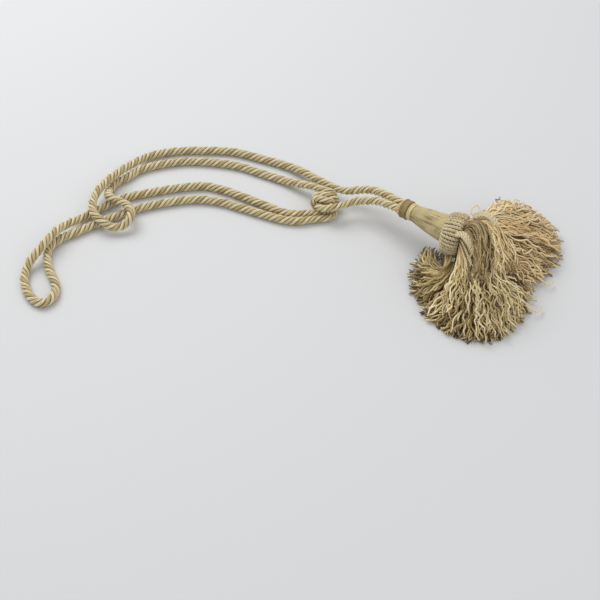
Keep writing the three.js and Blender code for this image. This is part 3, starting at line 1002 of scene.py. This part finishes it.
def lockPaths(lock, draw):
    # Each thread bends slowly and crimps quickly, more so towards its tip, and ends in a hook.
    across, below, clump, t, lines = restingLines(lock, draw)
    count = lock["threads"]
    wander, kink = lock["wander"], lock["kink"]
    own = np.linspace(fringe["rooted"], 1, fringe["steps"])
    tangents = unit(np.gradient(lines, axis=1))
    sideways = unit(np.cross(tangents, (0, 0, 1)))
    upward = np.cross(sideways, tangents)
    gaps = np.linalg.norm(np.diff(lines, axis=1), axis=-1)
    along = np.concatenate([np.zeros((count, 1)), np.cumsum(gaps, axis=1)], axis=1)
    loose = np.clip((t - 0.1) / 0.6, 0, 1)
    hook = fringe["hook"] * draw.normal(0, 1, (count, 1)) * np.clip((own - 0.75) / 0.25, 0, 1) ** 2
    side = loose * (wander * ownWaves(draw, along, 0.045) + kink * ownWaves(draw, along, 0.013)) + hook
    slow = 0.5 * wander * ownWaves(draw, along, 0.04)
    lift = loose * (slow + 0.7 * kink * ownWaves(draw, along, 0.012))
    side = side + wander * draw.normal(0, 1, lock["clumps"])[clump][:, None] * t**2
    lines = lines + side[..., None] * sideways + lift[..., None] * upward
    lines[..., 2] = np.maximum(lines[..., 2], fringe["threadRadius"])

    clumpTone = draw.normal(0, fringe["clumpShade"], lock["clumps"])[clump]
    shades = lock.get("shades", (0, 0))
    tone = fringe["tone"] + np.interp(across, np.linspace(0, 1, len(shades)), shades)
    # Painted shade: the lower a thread lies in its lock, the darker it is made.
    tone = tone + clumpTone + draw.normal(0, fringe["threadShade"], count) - fringe["paintedUnderShade"] * below
    return lines, tone[:, None] + fringe["tipShade"] * (t - 0.4)


def makeLock(name):
    lock = locks[name]
    lines, tones = lockPaths(lock, np.random.default_rng(lock["seed"]))
    radii = np.full(lines.shape[:2], fringe["threadRadius"])
    radii[:, -1] *= 0.8
    piece = joinedTubes(name, roundTubes(lines, radii, fringe["sides"]), tones.clip(0, 1))
    stands = [lock["replaces"]] if "replaces" in lock else []
    finishPiece(piece, threadMaterials[lock["look"]], "fringe", *stands)


for lockName in locks:
    makeLock(lockName)
print("fringe combed")


# ---- single threads that stray from the fringe, and the ends of its braid
strays = {
    "radius": 0.0007,
    "steps": 32,
    "sides": 7,
    "look": "cream",
    "lines": [
        [(-0.012, 0.029, 0.052), (-0.0115, 0.033, 0.055), (-0.006, 0.0365, 0.057), (-0.003, 0.030, 0.054)],
        [(-0.045, -0.002, 0.018), (-0.055, 0.009, 0.010), (-0.0645, 0.0145, 0.005)],
        [(-0.045, -0.020, 0.015), (-0.057, -0.017, 0.009), (-0.066, -0.008, 0.004), (-0.067, 0.003, 0.002)],
        [(-0.048, -0.030, 0.012), (-0.058, -0.026, 0.007), (-0.067, -0.022, 0.004)],
        [(-0.042, -0.040, 0.012), (-0.052, -0.045, 0.006), (-0.062, -0.042, 0.004)],
        [(-0.038, -0.050, 0.012), (-0.047, -0.059, 0.006), (-0.0565, -0.0574, 0.003)],
        [(-0.028, -0.058, 0.012), (-0.037, -0.067, 0.005), (-0.044, -0.067, 0.003)],
        [(0.034, -0.046, 0.010), (0.044, -0.050, 0.006), (0.050, -0.043, 0.004)],
        [(0.050, -0.010, 0.010), (0.060, -0.016, 0.006), (0.066, -0.011, 0.004)],
    ],
}
braidEnds = {
    "spread": 0.0021,  # between its rows
    "lines": [
        [(-0.010, 0.0265, 0.0515), (-0.003, 0.027, 0.054), (0.004, 0.024, 0.054), (0.0112, 0.016, 0.050)],
        [
            (-0.028, 0.0035, 0.0515), (-0.023, 0.000, 0.054),
            (-0.018, -0.007, 0.052), (-0.0125, -0.015, 0.045),
        ],
    ],
    "rows": 3,
    "steps": 64,
}


def makeStrays():
    paths = []
    for points in strays["lines"]:
        path = smoothPath(points, 0.0005)
        picks = np.linspace(0, len(path) - 1, strays["steps"]).round().astype(int)
        paths.append(path[picks])
    paths = np.array(paths)
    radii = np.full(paths.shape[:2], strays["radius"])
    piece = joinedTubes(
        "strayThreads", roundTubes(paths, radii, strays["sides"]), np.full(radii.shape, 0.6)
    )
    finishPiece(piece, threadMaterials[strays["look"]], "fringe")


def makeBraidEnds():
    paths = []
    for points in braidEnds["lines"]:
        path = smoothPath(points, 0.0005)
        picks = np.linspace(0, len(path) - 1, braidEnds["steps"]).round().astype(int)
        line = path[picks]
        sideways = unit(np.cross(np.gradient(line, axis=0), (0, 0, 1)))
        outward = np.cross(sideways, unit(np.gradient(line, axis=0)))
        for row in range(braidEnds["rows"]):
            beside = (row - (braidEnds["rows"] - 1) / 2) * braidEnds["spread"]
            shifted = line + beside * sideways
            paths += twistedPair(shifted, outward, sideways, np.ones(len(line)), 1.1 * row)
    paths = np.array(paths)
    radii = np.full(paths.shape[:2], ruff["strandRadius"])
    piece = joinedTubes(
        "braidEnds", roundTubes(paths, radii, ruff["strandSides"]), np.full(radii.shape, 0.6)
    )
    finishPiece(piece, ruffMaterial, "ruff")


makeStrays()
makeBraidEnds()
print("stray ends laid")


# ---- the floor and the light round it
studio = {
    "floorWidth": 8,
    "floorColour": dyed(214, 216, 219),
    "worldColour": dyed(232, 232, 232),
    "worldStrength": 0.72,
}
lamps = {
    "window": {"location": (-1.0, 1.1, 1.6), "size": 1.5, "power": 26, "colour": (1, 0.975, 0.94)},
    "fill": {"location": (0.9, -0.9, 1.4), "size": 1.6, "power": 6, "colour": (1, 0.99, 0.97)},
}


def makeFloor():
    build = bmesh.new()
    bmesh.ops.create_grid(build, x_segments=1, y_segments=1, size=studio["floorWidth"] / 2)
    mesh = bpy.data.meshes.new("floor")
    build.to_mesh(mesh)
    build.free()
    floor = linked("floor", mesh)
    material = bpy.data.materials.new("paleFloor")
    material.use_nodes = True
    shader = material.node_tree.nodes["Principled BSDF"]
    shader.inputs["Base Color"].default_value = studio["floorColour"]
    shader.inputs["Roughness"].default_value = 0.7
    mesh.materials.append(material)


def makeLamp(name):
    lamp = lamps[name]
    data = bpy.data.lights.new(name, "AREA")
    data.size = lamp["size"]
    data.energy = lamp["power"]
    data.color = lamp["colour"]
    light = bpy.data.objects.new(name, data)
    light.location = lamp["location"]
    aim = middle("knot") - light.location
    light.rotation_euler = aim.to_track_quat("-Z", "Y").to_euler()
    bpy.context.scene.collection.objects.link(light)


def makeWorld():
    world = bpy.data.worlds.new("studio")
    world.use_nodes = True
    background = world.node_tree.nodes["Background"]
    background.inputs["Color"].default_value = studio["worldColour"]
    background.inputs["Strength"].default_value = studio["worldStrength"]
    bpy.context.scene.world = world
    bpy.context.scene.view_settings.view_transform = "Standard"


makeFloor()
makeWorld()
for lampName in lamps:
    makeLamp(lampName)
print("studio lit")
